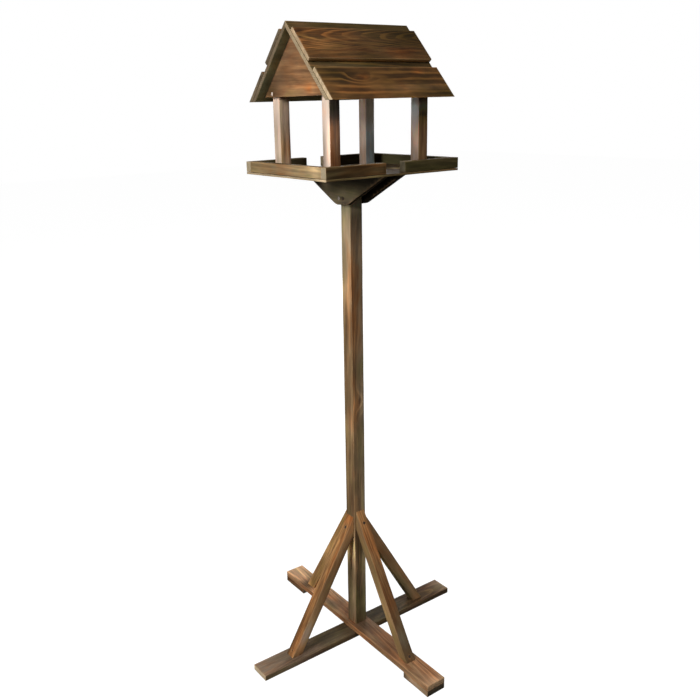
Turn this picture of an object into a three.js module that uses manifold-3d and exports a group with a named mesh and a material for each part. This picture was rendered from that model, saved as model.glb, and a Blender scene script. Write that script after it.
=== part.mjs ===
// Garden bird table: a cross base, a braced post, a railed tray and a pitched roof on four small posts.
// Millimetres, +Z up. The origin is on the ground under the post, and X runs along the ridge.
// Every timber is a separate piece, and countersunk wood screws hold the frame together.

import * as THREE from 'three';
import { mergeVertices } from 'three/addons/utils/BufferGeometryUtils.js';
import Module from 'manifold-3d';

const wasm = await Module();
wasm.setup();

// Workshop values
const seatGap = 0.3; // left between faces that are sawn, planed or turned to fit each other
const arris = 1.2; // the planed edges of every bar and board are eased by this much

// Base cross: two boards laid one over the other, and packers that level the upper one
const baseLength = 600;
const baseWidth = 54;
const baseThickness = 15;
const packerLength = 85;

// Post
const postSection = 34;
const postLength = 1149;

// Braces, measured from the foot of the post's face
const braceSection = 26;
const braceRun = 196;
const braceRise = 325;

// Gussets that carry the tray on the post
const gussetThickness = 12;
const gussetDrop = 69;
const gussetFoot = 40;
const gussetInset = 3;
const gussetEase = 10;

// Tray
const trayLength = 352;
const trayWidth = 304;
const floorThickness = 5;
const railThickness = 18;
const railHeight = 23;
const sweepGap = 50;

// House: four posts that stand inside the rails, and two gables
const roofPostSection = 26;
const endStandoff = 28;
const sideStandoff = 30;
const gableThickness = 9;
const gableLift = 9;

// Roof: two panels and four boards
const roofPitchDegrees = 47;
const eaveHeight = 147;
const eaveReach = 26.4;
const gableOverhang = 20;
const panelThickness = 9;
const boardThickness = 9;
const ridgeBare = 26;
const courseGap = 22;

// Countersunk screws
const headRadius = 3.5;
const headRim = 0.4;
const headDepth = 2.4;
const shankRadius = 1.75;
const pointLength = 5;
const recessSpan = 4.4;
const recessWidth = 1.1;
const recessDepth = 1.5;
const screwSides = 12;
const gableScrewLength = 28;
const gussetScrewLength = 25;
const gussetScrewSpacing = 16;
const gussetScrewRise = 14;
const braceScrewLength = 35;
const braceScrewSetback = 32;
const footScrewLength = 38;
const footScrewSetback = 13;
const postScrewLength = 60;
const trayScrewLength = 45;
const postScrewSpacing = 18;
const roofPostScrewLength = 32;
const packerScrewLength = 25;
const packerScrewSpacing = 45;

// Levels and places that follow from the sizes above
const lowerTop = baseThickness;
const upperTop = lowerTop + baseThickness;
const trayBase = upperTop + postLength;
const floorTop = trayBase + floorThickness;
const eaveLevel = floorTop + eaveHeight;
const houseHalfLength = trayLength / 2 - railThickness - endStandoff;
const houseHalfWidth = trayWidth / 2 - railThickness - sideStandoff;
const roofPostX = houseHalfLength - roofPostSection / 2;
const roofPostY = houseHalfWidth - roofPostSection / 2;
const roofHalfLength = houseHalfLength + gableThickness + gableOverhang;
const pitch = THREE.MathUtils.degToRad(roofPitchDegrees);
const underRidge = eaveLevel + (houseHalfWidth + eaveReach) * Math.tan(pitch);
const ridgeLevel = underRidge + panelThickness / Math.cos(pitch);
const signs = [-1, 1];
const quarterTurn = Math.PI / 2;

// Finishes: dark stained softwood, lighter where the stain took less, and zinc-plated steel
function stain(color, roughness) {
  return new THREE.MeshStandardMaterial({ color, roughness, metalness: 0, flatShading: true });
}
const baseStain = stain(0x5f4632, 0.8);
const postStain = stain(0x6b5238, 0.78);
const braceStain = stain(0x7a5230, 0.78);
const trayStain = stain(0x5d4a33, 0.8);
const houseStain = stain(0x735139, 0.8);
const roofStain = stain(0x4a3220, 0.75);
const zinc = new THREE.MeshStandardMaterial({ color: 0xc9c4b4, roughness: 0.35, metalness: 0.9 });

// Timber is collected by name, so that the screws can drill it before it becomes a mesh.
const timbers = new Map();

function addTimber(name, geometry, material) {
  timbers.set(name, { geometry, material });
}

// The section of planed timber: a rectangle with its four corners cut off by the arris.
function planedSection(width, height) {
  const x = width / 2;
  const y = height / 2;
  const section = new THREE.Shape();
  section.moveTo(x - arris, -y);
  section.lineTo(x, -y + arris);
  section.lineTo(x, y - arris);
  section.lineTo(x - arris, y);
  section.lineTo(-x + arris, y);
  section.lineTo(-x, y - arris);
  section.lineTo(-x, -y + arris);
  section.lineTo(-x + arris, -y);
  return section;
}

// A bar from one point to another along its middle line. width lies across up, and height along it.
// An end that is given a plane is sawn there: its corners slide along the grain until they meet it.
function sawnBar({ width, height, from, to, up, startPlane = null, endPlane = null }) {
  const along = to.clone().sub(from);
  const length = along.length();
  along.normalize();
  const across = new THREE.Vector3().crossVectors(up, along);
  const place = new THREE.Matrix4().makeBasis(across, up, along).setPosition(from);
  const geometry = new THREE.ExtrudeGeometry(planedSection(width, height), {
    depth: length,
    bevelEnabled: false,
  });
  const position = geometry.getAttribute('position');
  const corner = new THREE.Vector3();
  for (let i = 0; i < position.count; i += 1) {
    corner.fromBufferAttribute(position, i);
    const plane = corner.z > length / 2 ? endPlane : startPlane;
    corner.applyMatrix4(place);
    if (plane) {
      const slide = -plane.distanceToPoint(corner) / plane.normal.dot(along);
      corner.addScaledVector(along, slide);
    }
    position.setXYZ(i, corner.x, corner.y, corner.z);
  }
  return geometry;
}

// A level plane, a plane square to X, and the sloping underside of the roof on one side of the ridge.
function levelPlane(z) {
  return new THREE.Plane(new THREE.Vector3(0, 0, 1), -z);
}

function facePlane(x) {
  return new THREE.Plane(new THREE.Vector3(1, 0, 0), -x);
}

function roofUnderside(side, clearance) {
  const normal = new THREE.Vector3(0, side * Math.sin(pitch), Math.cos(pitch));
  const plane = new THREE.Plane().setFromNormalAndCoplanarPoint(
    normal,
    new THREE.Vector3(0, 0, underRidge),
  );
  plane.constant += clearance;
  return plane;
}

// A panel whose outline is drawn in Y and Z, sawn to length along X.
function crossCut(outline, fromX, toX) {
  const geometry = new THREE.ExtrudeGeometry(outline, { depth: toX - fromX, bevelEnabled: false });
  const place = new THREE.Matrix4().makeBasis(
    new THREE.Vector3(0, 1, 0),
    new THREE.Vector3(0, 0, 1),
    new THREE.Vector3(1, 0, 0),
  );
  return geometry.applyMatrix4(place.setPosition(fromX, 0, 0));
}

// Boards of the cross: flat boards along Y, laid at a height.
function flatBoard(length, centreY, bottom) {
  const middle = bottom + baseThickness / 2;
  return sawnBar({
    width: baseWidth,
    height: baseThickness,
    from: new THREE.Vector3(0, centreY - length / 2, middle),
    to: new THREE.Vector3(0, centreY + length / 2, middle),
    up: new THREE.Vector3(0, 0, 1),
  });
}

const packerY = (baseLength - packerLength) / 2;

function addBase() {
  addTimber('base_board_lower', flatBoard(baseLength, 0, 0).rotateZ(quarterTurn), baseStain);
  addTimber('base_board_upper', flatBoard(baseLength, 0, lowerTop), baseStain);
  addTimber('packer_front', flatBoard(packerLength, -packerY, 0), baseStain);
  addTimber('packer_back', flatBoard(packerLength, packerY, 0), baseStain);
}

function addPost() {
  const post = sawnBar({
    width: postSection,
    height: postSection,
    from: new THREE.Vector3(0, 0, upperTop),
    to: new THREE.Vector3(0, 0, trayBase),
    up: new THREE.Vector3(0, 1, 0),
  });
  addTimber('post', post, postStain);
}

// A brace leans in the plane of its base board. It is mitred to the board and to the post's face.
// The pair along X stands on the lower board, and the pair along Y on the upper one.
const braces = [
  { name: 'right', turn: 0, board: 'base_board_lower', seat: lowerTop },
  { name: 'back', turn: 1, board: 'base_board_upper', seat: upperTop },
  { name: 'left', turn: 2, board: 'base_board_lower', seat: lowerTop },
  { name: 'front', turn: 3, board: 'base_board_upper', seat: upperTop },
];
const braceOut = new THREE.Vector3(braceRise, 0, braceRun).normalize();
const braceUp = new THREE.Vector3(-braceRun, 0, braceRise).normalize();

// The point where a brace's outer face meets its board, in the plane of X and Z.
function braceFoot(seat) {
  return new THREE.Vector3(postSection / 2 + braceRun, 0, seat);
}

function braceHead(seat) {
  return new THREE.Vector3(postSection / 2, 0, seat + braceRise);
}

function addBraces() {
  const inset = -braceSection / 2;
  for (const { name, turn, seat } of braces) {
    const brace = sawnBar({
      width: braceSection,
      height: braceSection,
      from: braceFoot(seat).addScaledVector(braceOut, inset),
      to: braceHead(seat).addScaledVector(braceOut, inset),
      up: braceOut,
      startPlane: levelPlane(seat),
      endPlane: facePlane(postSection / 2),
    });
    addTimber(`brace_${name}`, brace.rotateZ(turn * quarterTurn), braceStain);
  }
}

// A gusset is nearly as wide as the tray and tapers down to a short foot with eased corners.
const gussetBase = trayBase - gussetDrop;

function gussetOutline() {
  const top = trayWidth / 2 - gussetInset;
  const foot = gussetFoot / 2;
  const slant = new THREE.Vector2(top - foot, gussetDrop).setLength(gussetEase);
  const outline = new THREE.Shape();
  outline.moveTo(-top, trayBase);
  outline.lineTo(-foot - slant.x, gussetBase + slant.y);
  outline.quadraticCurveTo(-foot, gussetBase, -foot + gussetEase, gussetBase);
  outline.lineTo(foot - gussetEase, gussetBase);
  outline.quadraticCurveTo(foot, gussetBase, foot + slant.x, gussetBase + slant.y);
  outline.lineTo(top, trayBase);
  return outline;
}

function addGussets() {
  const near = postSection / 2;
  const far = near + gussetThickness;
  addTimber('gusset_left', crossCut(gussetOutline(), -far, -near), postStain);
  addTimber('gusset_right', crossCut(gussetOutline(), near, far), postStain);
}

// The tray's floor, end rails between the side rails, and side rails in halves that leave a gap
// in the middle for sweeping out and for rain.
function railBar(from, to) {
  return sawnBar({
    width: railThickness,
    height: railHeight,
    from,
    to,
    up: new THREE.Vector3(0, 0, 1),
  });
}

function addTray() {
  const floor = new THREE.BoxGeometry(trayLength, trayWidth, floorThickness);
  addTimber('tray_floor', floor.translate(0, 0, trayBase + floorThickness / 2), trayStain);
  const middle = floorTop + railHeight / 2;
  const endX = (trayLength - railThickness) / 2;
  const endY = trayWidth / 2 - railThickness;
  const sideY = (trayWidth - railThickness) / 2;
  for (const x of signs) {
    const endName = x < 0 ? 'left' : 'right';
    const endRail = railBar(
      new THREE.Vector3(x * endX, -endY, middle),
      new THREE.Vector3(x * endX, endY, middle),
    );
    addTimber(`end_rail_${endName}`, endRail, trayStain);
    for (const y of signs) {
      const sideName = y < 0 ? 'front' : 'back';
      const sideRail = railBar(
        new THREE.Vector3((x * sweepGap) / 2, y * sideY, middle),
        new THREE.Vector3((x * trayLength) / 2, y * sideY, middle),
      );
      addTimber(`side_rail_${sideName}_${endName}`, sideRail, trayStain);
    }
  }
}

// Four posts stand on the tray's floor. Their heads are bevelled to the pitch of the roof.
function roofPostName(x, y) {
  return `roof_post_${y < 0 ? 'front' : 'back'}_${x < 0 ? 'left' : 'right'}`;
}

function addRoofPosts() {
  for (const x of signs) {
    for (const y of signs) {
      const post = sawnBar({
        width: roofPostSection,
        height: roofPostSection,
        from: new THREE.Vector3(x * roofPostX, y * roofPostY, floorTop),
        to: new THREE.Vector3(x * roofPostX, y * roofPostY, eaveLevel),
        up: new THREE.Vector3(0, 1, 0),
        endPlane: roofUnderside(y, seatGap),
      });
      addTimber(roofPostName(x, y), post, houseStain);
    }
  }
}

// A gable fills the roof's end from just above the eave up to the ridge, outside the roof posts.
const gableBase = eaveLevel + gableLift;

function addGables() {
  const peak = underRidge - seatGap / Math.cos(pitch);
  const foot = (peak - gableBase) / Math.tan(pitch);
  const outline = new THREE.Shape();
  outline.moveTo(-foot, gableBase);
  outline.lineTo(foot, gableBase);
  outline.lineTo(0, peak);
  const near = houseHalfLength;
  const far = near + gableThickness;
  addTimber('gable_left', crossCut(outline, -far, -near), houseStain);
  addTimber('gable_right', crossCut(outline, near, far), houseStain);
}

// A point on one slope: how far down from the ridge, and how high above the panels' outer face.
function slopePoint(side, down, above) {
  const y = down * Math.cos(pitch) + above * Math.sin(pitch);
  const z = ridgeLevel - down * Math.sin(pitch) + above * Math.cos(pitch);
  return new THREE.Vector2(side * y, z);
}

// How far down the slope a face at that height above the panels reaches the level cut at the eave.
function downToEave(above) {
  return (ridgeLevel + above * Math.cos(pitch) - eaveLevel) / Math.sin(pitch);
}

function panelOutline(side) {
  return new THREE.Shape([
    new THREE.Vector2(0, ridgeLevel),
    slopePoint(side, downToEave(0), 0),
    new THREE.Vector2(side * (houseHalfWidth + eaveReach), eaveLevel),
    new THREE.Vector2(0, underRidge),
  ]);
}

// Two boards of one width lie on each panel, below a bare strip at the ridge and with a gap between
// them. The upper one is square-edged, and the lower one ends in the panel's own level cut.
const boardFace = seatGap + boardThickness;
const boardWidth = (downToEave(boardFace) - ridgeBare - courseGap) / 2;

function upperBoardOutline(side) {
  const top = ridgeBare;
  const bottom = ridgeBare + boardWidth;
  return new THREE.Shape([
    slopePoint(side, top, seatGap),
    slopePoint(side, bottom, seatGap),
    slopePoint(side, bottom, boardFace - arris),
    slopePoint(side, bottom - arris, boardFace),
    slopePoint(side, top + arris, boardFace),
    slopePoint(side, top, boardFace - arris),
  ]);
}

function lowerBoardOutline(side) {
  const bottom = downToEave(boardFace);
  const top = bottom - boardWidth;
  return new THREE.Shape([
    slopePoint(side, top, seatGap),
    slopePoint(side, downToEave(seatGap), seatGap),
    slopePoint(side, bottom, boardFace),
    slopePoint(side, top + arris, boardFace),
    slopePoint(side, top, boardFace - arris),
  ]);
}

function addRoof() {
  for (const side of signs) {
    const name = side < 0 ? 'front' : 'back';
    const outlines = {
      [`roof_panel_${name}`]: panelOutline(side),
      [`roof_board_${name}_upper`]: upperBoardOutline(side),
      [`roof_board_${name}_lower`]: lowerBoardOutline(side),
    };
    for (const [timber, outline] of Object.entries(outlines)) {
      addTimber(timber, crossCut(outline, -roofHalfLength, roofHalfLength), roofStain);
    }
  }
}

// A closed mesh as a solid that can be cut: only positions are kept, and shared corners are merged.
function solidOf(geometry) {
  const bare = geometry.clone();
  bare.deleteAttribute('normal');
  bare.deleteAttribute('uv');
  const merged = mergeVertices(bare);
  const corners = merged.getIndex().array;
  const triVerts = [];
  for (let i = 0; i < corners.length; i += 3) {
    const [a, b, c] = corners.slice(i, i + 3);
    if (a !== b && b !== c && c !== a) {
      triVerts.push(a, b, c);
    }
  }
  const mesh = new wasm.Mesh({
    numProp: 3,
    vertProperties: merged.getAttribute('position').array,
    triVerts: new Uint32Array(triVerts),
  });
  return new wasm.Manifold(mesh);
}

function geometryOf(solid) {
  const mesh = solid.getMesh();
  const geometry = new THREE.BufferGeometry();
  geometry.setAttribute('position', new THREE.BufferAttribute(mesh.vertProperties, mesh.numProp));
  geometry.setIndex(new THREE.BufferAttribute(mesh.triVerts, 1));
  geometry.computeVertexNormals();
  return geometry;
}

// The turned shape of a screw along -Y, with the flat of its head at the origin. A larger fit
// gives the hole that it is driven into, which runs out past the head.
function turnedScrew(length, fit) {
  const mouth = fit > 0 ? headDepth : 0;
  const profile = [
    new THREE.Vector2(0, -length - fit),
    new THREE.Vector2(shankRadius + fit, -length + pointLength),
    new THREE.Vector2(shankRadius + fit, -headDepth),
    new THREE.Vector2(headRadius + fit, -headRim),
    new THREE.Vector2(headRadius + fit, mouth),
    new THREE.Vector2(0, mouth),
  ];
  return new THREE.LatheGeometry(profile, screwSides);
}

function crossRecess() {
  const slot = new THREE.BoxGeometry(recessSpan, 2 * recessDepth, recessWidth);
  return solidOf(slot).add(solidOf(slot.clone().rotateY(quarterTurn)));
}

// A screw is driven at a point on a timber's face, along a direction into the wood, and its hole
// is cut in each timber that it passes through.
const group = new THREE.Group();
const up = new THREE.Vector3(0, 1, 0);

function driveScrew(name, at, into, length, through) {
  const turn = new THREE.Quaternion().setFromUnitVectors(up, into.clone().negate().normalize());
  const place = new THREE.Matrix4().makeRotationFromQuaternion(turn).setPosition(at);
  const body = solidOf(turnedScrew(length, 0)).subtract(crossRecess());
  const screw = new THREE.Mesh(geometryOf(body).applyMatrix4(place), zinc);
  screw.name = name;
  group.add(screw);
  const hole = solidOf(turnedScrew(length, seatGap).applyMatrix4(place));
  for (const timberName of through) {
    const timber = timbers.get(timberName);
    timber.geometry = geometryOf(solidOf(timber.geometry).subtract(hole));
  }
}

const down = new THREE.Vector3(0, 0, -1);
const upward = new THREE.Vector3(0, 0, 1);

// Two screws up through the crossing into the post, set corner to corner, and two down through
// the tray's floor into its head. Each packer has a pair driven up into the upper board.
function screwBaseAndTray() {
  for (const end of signs) {
    const offset = (end * postScrewSpacing) / 2;
    const name = end < 0 ? 'a' : 'b';
    const below = new THREE.Vector3(offset, -offset, 0);
    const crossing = ['base_board_lower', 'base_board_upper', 'post'];
    driveScrew(`post_screw_${name}`, below, upward, postScrewLength, crossing);
    const above = new THREE.Vector3(offset, offset, floorTop);
    driveScrew(`tray_screw_${name}`, above, down, trayScrewLength, ['tray_floor', 'post']);
    for (const side of signs) {
      const packer = side < 0 ? 'packer_front' : 'packer_back';
      const y = side * packerY + (end * packerScrewSpacing) / 2;
      const at = new THREE.Vector3(0, y, 0);
      driveScrew(`${packer}_screw_${name}`, at, upward, packerScrewLength, [packer, 'base_board_upper']);
    }
  }
}

// One screw through each brace into its board, and one into the post, square to its outer face.
function screwBraces() {
  const inward = braceOut.clone().negate();
  const vertical = new THREE.Vector3(0, 0, 1);
  for (const { name, turn, board, seat } of braces) {
    const angle = turn * quarterTurn;
    const into = inward.clone().applyAxisAngle(vertical, angle);
    const foot = braceFoot(seat).addScaledVector(braceUp, footScrewSetback);
    const head = braceHead(seat).addScaledVector(braceUp, -braceScrewSetback);
    foot.applyAxisAngle(vertical, angle);
    head.applyAxisAngle(vertical, angle);
    const brace = `brace_${name}`;
    driveScrew(`${brace}_foot_screw`, foot, into, footScrewLength, [brace, board]);
    driveScrew(`${brace}_head_screw`, head, into, braceScrewLength, [brace, 'post']);
  }
}

// Two screws side by side through each gusset into the post.
function screwGussets() {
  for (const x of signs) {
    const gusset = x < 0 ? 'gusset_left' : 'gusset_right';
    const into = new THREE.Vector3(-x, 0, 0);
    for (const y of signs) {
      const face = x * (postSection / 2 + gussetThickness);
      const at = new THREE.Vector3(face, (y * gussetScrewSpacing) / 2, gussetBase + gussetScrewRise);
      const name = `${gusset}_screw_${y < 0 ? 'front' : 'back'}`;
      driveScrew(name, at, into, gussetScrewLength, [gusset, 'post']);
    }
  }
}

// Each roof post is held by a screw up through the tray's floor and by one through its gable.
function screwHouse() {
  for (const x of signs) {
    for (const y of signs) {
      const post = roofPostName(x, y);
      const below = new THREE.Vector3(x * roofPostX, y * roofPostY, trayBase);
      driveScrew(`${post}_screw`, below, upward, roofPostScrewLength, ['tray_floor', post]);
      const gable = x < 0 ? 'gable_left' : 'gable_right';
      const height = gableBase + 2 * headRadius;
      const face = new THREE.Vector3(x * (houseHalfLength + gableThickness), y * roofPostY, height);
      const into = new THREE.Vector3(-x, 0, 0);
      const name = `${gable}_screw_${y < 0 ? 'front' : 'back'}`;
      driveScrew(name, face, into, gableScrewLength, [gable, post]);
    }
  }
}

addBase();
addPost();
addBraces();
addGussets();
addTray();
addRoofPosts();
addGables();
addRoof();

screwBaseAndTray();
screwBraces();
screwGussets();
screwHouse();

for (const [name, { geometry, material }] of timbers) {
  const mesh = new THREE.Mesh(geometry, material);
  mesh.name = name;
  group.add(mesh);
}

export default group;
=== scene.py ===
# %% [markdown]
# # A garden bird table, dressed in Blender
# The table is a joiner's object: a cross of two boards, a braced post, a tray with rails and a small
# pitched roof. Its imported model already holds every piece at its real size, so it is loaded first and
# used as a fixed frame. Each timber is then modelled again around it, with eased edges, bored screw
# holes and a slightly uneven surface, because a saw-sharp block never looks like weathered wood.

# %% Load the frame
import math
import random

import bmesh
import bpy
import numpy as np
from mathutils import Matrix, Vector


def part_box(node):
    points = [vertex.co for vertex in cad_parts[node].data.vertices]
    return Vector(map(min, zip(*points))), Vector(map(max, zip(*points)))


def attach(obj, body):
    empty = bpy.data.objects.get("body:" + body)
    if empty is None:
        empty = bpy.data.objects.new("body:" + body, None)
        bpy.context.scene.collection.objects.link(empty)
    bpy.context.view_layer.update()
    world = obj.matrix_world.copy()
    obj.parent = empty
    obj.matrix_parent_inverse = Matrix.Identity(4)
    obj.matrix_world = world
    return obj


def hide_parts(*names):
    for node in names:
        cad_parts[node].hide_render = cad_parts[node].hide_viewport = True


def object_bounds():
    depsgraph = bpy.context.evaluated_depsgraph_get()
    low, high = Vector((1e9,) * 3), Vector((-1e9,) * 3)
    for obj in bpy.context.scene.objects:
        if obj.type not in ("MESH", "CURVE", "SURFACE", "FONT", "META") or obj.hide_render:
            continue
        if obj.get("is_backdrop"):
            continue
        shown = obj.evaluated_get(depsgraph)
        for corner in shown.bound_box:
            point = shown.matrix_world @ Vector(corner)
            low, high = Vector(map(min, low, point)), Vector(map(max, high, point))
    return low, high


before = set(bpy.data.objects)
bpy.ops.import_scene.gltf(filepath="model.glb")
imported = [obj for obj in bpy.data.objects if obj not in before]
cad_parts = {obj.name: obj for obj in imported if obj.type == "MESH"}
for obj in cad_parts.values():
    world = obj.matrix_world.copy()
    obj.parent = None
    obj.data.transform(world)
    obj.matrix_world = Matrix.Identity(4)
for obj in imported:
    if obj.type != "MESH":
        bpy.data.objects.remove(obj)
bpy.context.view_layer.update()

X, Y, Z = Vector((1, 0, 0)), Vector((0, 1, 0)), Vector((0, 0, 1))
sides = {"left": -X, "right": X, "front": -Y, "back": Y}
print("nodes in the frame:", len(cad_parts))

# %% [markdown]
# Measuring comes before modelling. A joiner holds a rule against the piece, and here small functions do
# the same: they give a node's corner points, how far it reaches along any direction, and its middle and
# size. The pitch of the roof, the lean of a brace and the line of a screw are all measured, so nothing
# has to be typed twice.

# %% Measure the frame
decimals = 6


def corners(node):
    """The different corner points of a CAD node, as an array."""
    points = np.array([vertex.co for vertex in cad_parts[node].data.vertices])
    return np.unique(points.round(decimals), axis=0)


def reach(node, axis):
    """The lowest and highest place of a node along a direction."""
    places = corners(node) @ np.array(axis)
    return float(places.min()), float(places.max())


def middle_and_size(node):
    """The middle of a node's box and its three sizes."""
    low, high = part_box(node)
    return (low + high) / 2, high - low


gable_low, gable_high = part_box("gable_left")
pitch = math.atan2(gable_high.z - gable_low.z, gable_high.y)
print("roof pitch in degrees:", round(math.degrees(pitch), 2))

# %% [markdown]
# Every timber starts as a block from the merchant: a cube added at its size and place. The steps after
# that are the bench steps, each one a short function. The saw is the bisect operator, which cuts along
# a plane and closes the cut. It works on what is selected, so each function selects in code what it
# needs, and nothing depends on what was selected before.

# %% Block and saw
cut_tolerance = 1e-6


def block(name, centre, size, axes=(X, Y, Z)):
    """A block of wood whose length, width and thickness lie along three square axes."""
    bpy.ops.object.select_all(action="DESELECT")
    turn = Matrix(axes).transposed().to_euler()
    bpy.ops.mesh.primitive_cube_add(size=1, location=centre, rotation=turn, scale=size)
    piece = bpy.context.active_object
    piece.name = name
    bpy.ops.object.transform_apply(location=True, rotation=True, scale=True)
    return piece


def saw(piece, point, away):
    """Cuts the piece along a plane and drops what lies on the side that away points to."""
    bpy.ops.object.mode_set(mode="EDIT")
    bpy.ops.mesh.select_all(action="SELECT")
    bpy.ops.mesh.bisect(
        plane_co=point, plane_no=away, use_fill=True, clear_outer=True, threshold=cut_tolerance
    )
    bpy.ops.object.mode_set(mode="OBJECT")


def pick_edges(piece, wanted):
    """In edit mode, selects the edges whose two end points pass a test."""
    bpy.ops.mesh.select_mode(type="EDGE")
    bpy.ops.mesh.select_all(action="DESELECT")
    mesh = bmesh.from_edit_mesh(piece.data)
    for edge in mesh.edges:
        edge.select_set(wanted(edge.verts[0].co, edge.verts[1].co))
    bmesh.update_edit_mesh(piece.data)


# %% [markdown]
# Sharp corners are the first thing that gives a computer model away. On the real timber the long edges
# are eased with a plane and then rounded by rain, while the sawn ends stay crisper. A Bevel modifier
# can do both at once when it reads a weight from each edge: full weight along the grain, and less
# round the ends. The modifier is applied, so the rounding is real geometry.

# %% Ease the edges
arris = 0.0012
thin_arris = 0.0008
end_weight = 0.45
arris_segments = 3
same_direction = 0.999


def ease(piece, along, width):
    """Rounds the long edges by width and the other edges by less."""
    bpy.ops.object.mode_set(mode="EDIT")
    pick_edges(piece, lambda a, b: True)
    bpy.ops.transform.edge_bevelweight(value=end_weight)
    pick_edges(piece, lambda a, b: abs((b - a).normalized().dot(along)) > same_direction)
    bpy.ops.transform.edge_bevelweight(value=1 - end_weight)
    bpy.ops.object.mode_set(mode="OBJECT")
    bevel = piece.modifiers.new("eased", "BEVEL")
    bevel.limit_method = "WEIGHT"
    bevel.width = width
    bevel.segments = arris_segments
    bpy.ops.object.modifier_apply(modifier=bevel.name)


# %% [markdown]
# Wood moves as it dries, and no planed face is truly flat. To be able to move a little, a face needs
# points in its middle, so the piece is sliced with more bisect cuts that keep both sides. A Displace
# modifier with a soft cloud texture then sinks the faces by 0.6 mm at most. Its middle level is 1, so
# it only ever moves them inwards, and the piece never grows past its real size.

# %% Slice and weather
slice_length = 0.012
slice_width = 0.007
sink_depth = 0.0006

cloud = bpy.data.textures.new("cloud", "CLOUDS")
cloud.noise_scale = 0.05
cloud.noise_depth = 3


def slice_up(piece, centre, axis, size, step):
    """Adds evenly spaced cuts across an axis, without removing anything."""
    count = round(size / step)
    bpy.ops.object.mode_set(mode="EDIT")
    for i in range(1, count):
        bpy.ops.mesh.select_all(action="SELECT")
        place = centre + axis * size * (i / count - 0.5)
        bpy.ops.mesh.bisect(plane_co=place, plane_no=axis, threshold=cut_tolerance)
    bpy.ops.object.mode_set(mode="OBJECT")


def weather(piece):
    """Lets the faces sink unevenly by a fraction of a millimetre."""
    sink = piece.modifiers.new("weather", "DISPLACE")
    sink.texture = cloud
    sink.strength = sink_depth
    sink.mid_level = 1
    bpy.ops.object.modifier_apply(modifier=sink.name)


# %% [markdown]
# The table is held together by countersunk wood screws. One screw is modelled with care and copied.
# It starts as a cylinder for the rim of the head, and its lower face is extruded and resized down the
# cone, the threaded shank and the point. A lathe would turn it in the same order.

# %% Turn a screw
head_radius = 0.0035
head_rim = 0.0004
head_depth = 0.0024
shank_radius = 0.00175
point_length = 0.005
point_taper = 20
model_length = 0.03
thread_count = 16
thread_depth = 0.00035
screw_sides = 28
facing_down = -0.9


def lower_face(piece, down, radius, was):
    """Extrudes the selected lowest face straight down and resizes it from one radius to another."""
    bpy.ops.mesh.extrude_region_move(TRANSFORM_OT_translate={"value": (0, 0, -down)})
    share = radius / was
    bpy.ops.transform.resize(value=(share, share, 1))


def turned_blank(name, gap, threads):
    """A screw along -Z with the flat of its head at the origin, fattened by a gap."""
    bpy.ops.object.select_all(action="DESELECT")
    rise = head_depth if gap else 0.0
    bpy.ops.mesh.primitive_cylinder_add(
        vertices=screw_sides, radius=head_radius + gap, depth=head_rim + rise,
        location=(0, 0, (rise - head_rim) / 2),
    )
    blank = bpy.context.active_object
    blank.name = name
    bpy.ops.object.transform_apply(location=True, rotation=True, scale=True)
    bpy.ops.object.mode_set(mode="EDIT")
    bpy.ops.mesh.select_mode(type="FACE")
    bpy.ops.mesh.select_all(action="DESELECT")
    mesh = bmesh.from_edit_mesh(blank.data)
    for face in mesh.faces:
        face.select_set(face.normal.z < facing_down)
    bmesh.update_edit_mesh(blank.data)
    crest = shank_radius + gap
    lower_face(blank, head_depth - head_rim, crest, head_radius + gap)
    shank = model_length - head_depth - point_length
    if threads:
        root = crest - thread_depth
        half = shank / thread_count / 2
        for _ in range(thread_count):
            lower_face(blank, half, root, crest)
            lower_face(blank, half, crest, root)
    else:
        lower_face(blank, shank, crest, crest)
    lower_face(blank, point_length, crest / point_taper, crest)
    bpy.ops.object.mode_set(mode="OBJECT")
    return blank


# %% [markdown]
# The recess in the head is sunk by two crossed blocks, with the Boolean modifier, which is applied at
# once. A second, slightly fatter blank without a thread is the bit, and copies of it bore the holes.

# %% Cut the recess and make the bit
bore_gap = 0.0002
recess_span = 0.0044
recess_width = 0.0011
recess_depth = 0.0015


def boolean(piece, tool, operation):
    """Joins or cuts a piece with a tool, and keeps the tool."""
    bpy.ops.object.select_all(action="DESELECT")
    piece.select_set(True)
    bpy.context.view_layer.objects.active = piece
    cut = piece.modifiers.new(operation.lower(), "BOOLEAN")
    cut.object = tool
    cut.operation = operation
    cut.solver = "EXACT"
    bpy.ops.object.modifier_apply(modifier=cut.name)


def crossed_recess():
    """Two crossed blocks that sink a cross into the head."""
    size = (recess_span, recess_width, 2 * recess_depth)
    cross = block("recess", Vector(), size)
    arm = block("arm", Vector(), size, axes=(Y, -X, Z))
    boolean(cross, arm, "UNION")
    bpy.data.objects.remove(arm)
    return cross


screw_model = turned_blank("screw_model", 0, threads=True)
recess = crossed_recess()
boolean(screw_model, recess, "DIFFERENCE")
bore_model = turned_blank("bore_model", bore_gap, threads=False)
bpy.data.objects.remove(recess)
print("faces in one screw:", len(screw_model.data.polygons))

# %% [markdown]
# Where each screw goes is read from the frame. A singular value decomposition of a screw's corner
# points gives its long axis, and its narrower end is the tip. Each copy has its own mesh, which is
# stretched below the head to the right length and set in place for good.


# %% Place the screws
def screw_line(node):
    """The middle of a screw's head, the direction into the wood and its length."""
    points = corners(node)
    centre = points.mean(0)
    axis = np.linalg.svd(points - centre)[2][0]
    along = (points - centre) @ axis
    width = np.linalg.norm(points - centre - np.outer(along, axis), axis=1)
    if width[along.argmax()] > width[along.argmin()]:
        axis, along = -axis, -along
    head = centre + axis * along.min()
    return Vector(head), Vector(axis), float(along.max() - along.min())


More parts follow.
